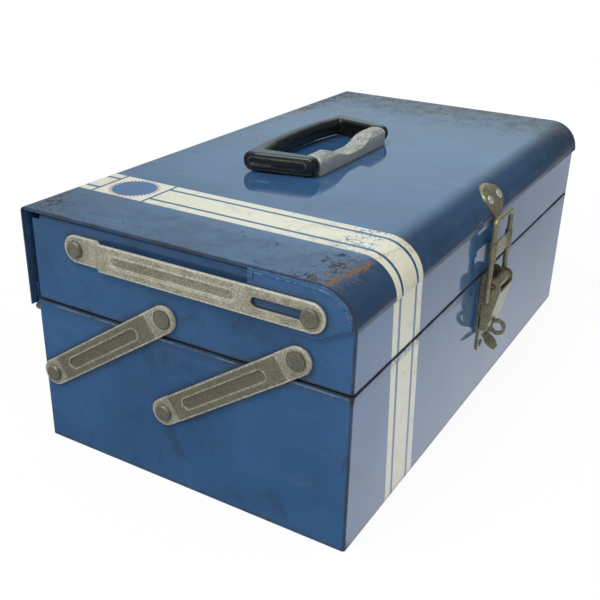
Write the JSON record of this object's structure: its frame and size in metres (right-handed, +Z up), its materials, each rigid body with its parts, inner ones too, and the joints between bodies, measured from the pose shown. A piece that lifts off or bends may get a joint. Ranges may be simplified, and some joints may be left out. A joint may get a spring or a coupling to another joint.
{
  "type": "portable tool box",
  "caption": "Portable sheet steel tool box with a lifting cantilever tray, hinged lid, folding carry handle and over-centre latch.",
  "frame": {"origin": "centre of the bounding box, on the ground under the box", "axes": "+X along the length, +Y towards the hinge side (the latch faces -Y), +Z up"},
  "size_m": [0.4452, 0.2582, 0.1843],
  "materials": {
    "blue_paint": "gloss enamel, worn",
    "zinc_steel": "dull zinc plate",
    "grey_casting": "silver-grey paint, satin",
    "black_plastic": "semi-gloss"
  },
  "bodies": {
    "box": {"box_wrap": "blue_paint", "box_end_l": "blue_paint", "box_end_r": "blue_paint", "hinge_leaf_box": "blue_paint", "hinge_pin": "zinc_steel", "lower_rivets": "zinc_steel", "latch_base": "zinc_steel", "padlock_eye": "zinc_steel", "latch_base_rivets": "zinc_steel", "lever_pin": "zinc_steel"},
    "tray": {"tray_shell": "blue_paint", "upper_rivets": "zinc_steel", "link_rivets": "zinc_steel"},
    "rear_arms": {"rear_arm_l": "zinc_steel", "rear_arm_r": "zinc_steel"},
    "front_arms": {"front_arm_l": "zinc_steel", "front_arm_r": "zinc_steel"},
    "links": {"link_l": "zinc_steel", "link_r": "zinc_steel", "slot_studs": "zinc_steel"},
    "lid": {"lid_shell": "blue_paint", "lid_gusset_l": "blue_paint", "lid_gusset_r": "blue_paint", "hinge_leaf_lid": "blue_paint", "stud_heads": "zinc_steel", "handle_bracket": "grey_casting", "handle_plate": "zinc_steel", "handle_screws": "zinc_steel", "handle_pins": "zinc_steel", "strike_plate": "zinc_steel", "strike_rivets": "zinc_steel"},
    "grip": {"handle_grip": "black_plastic"},
    "lever": {"latch_lever": "zinc_steel"},
    "bail": {"latch_bail": "zinc_steel", "bail_sleeve": "zinc_steel"}
  },
  "joints": [
    {"name": "lid_hinge", "type": "hinge", "parent": "box", "child": "lid", "pos_m": [0, 0.1263, 0.098], "axis": [-1, 0, 0], "range_deg": [0, 120]},
    {"name": "rear_arm_pivot", "type": "hinge", "parent": "box", "child": "rear_arms", "pos_m": [0, 0.1126, 0.0536], "axis": [-1, 0, 0], "range_deg": [-1, 28.02]},
    {"name": "front_arm_pivot", "type": "hinge", "parent": "box", "child": "front_arms", "pos_m": [0, 0.0196, 0.0536], "axis": [-1, 0, 0], "range_deg": [-1, 28.02]},
    {"name": "tray_pivot", "type": "hinge", "parent": "rear_arms", "child": "tray", "pos_m": [0, 0.01725, 0.11913], "axis": [-1, 0, 0], "range_deg": [-28.02, 1]},
    {"name": "link_pivot", "type": "hinge", "parent": "tray", "child": "links", "pos_m": [0, 0.0832, 0.1494], "axis": [-1, 0, 0], "range_deg": [-1, 156.49]},
    {"name": "handle_hinge", "type": "hinge", "parent": "lid", "child": "grip", "pos_m": [-0.004, 0.0082, 0.1774], "axis": [1, 0, 0], "range_deg": [0, 95]},
    {"name": "latch_lever_hinge", "type": "hinge", "parent": "box", "child": "lever", "pos_m": [0, -0.1196, 0.0984], "axis": [-1, 0, 0], "range_deg": [0, 105]},
    {"name": "latch_bail_hinge", "type": "hinge", "parent": "lever", "child": "bail", "pos_m": [0, -0.117, 0.0875], "axis": [-1, 0, 0], "range_deg": [-122, 1]}
  ],
  "couplings": [
    {"joint": "rear_arm_pivot", "follows": "lid_hinge", "ratio": 0.22515},
    {"joint": "front_arm_pivot", "follows": "lid_hinge", "ratio": 0.22515},
    {"joint": "tray_pivot", "follows": "lid_hinge", "ratio": -0.22515},
    {"joint": "link_pivot", "follows": "lid_hinge", "ratio": 1.2958},
    {"joint": "latch_bail_hinge", "follows": "latch_lever_hinge", "ratio": -1.15}
  ]
}
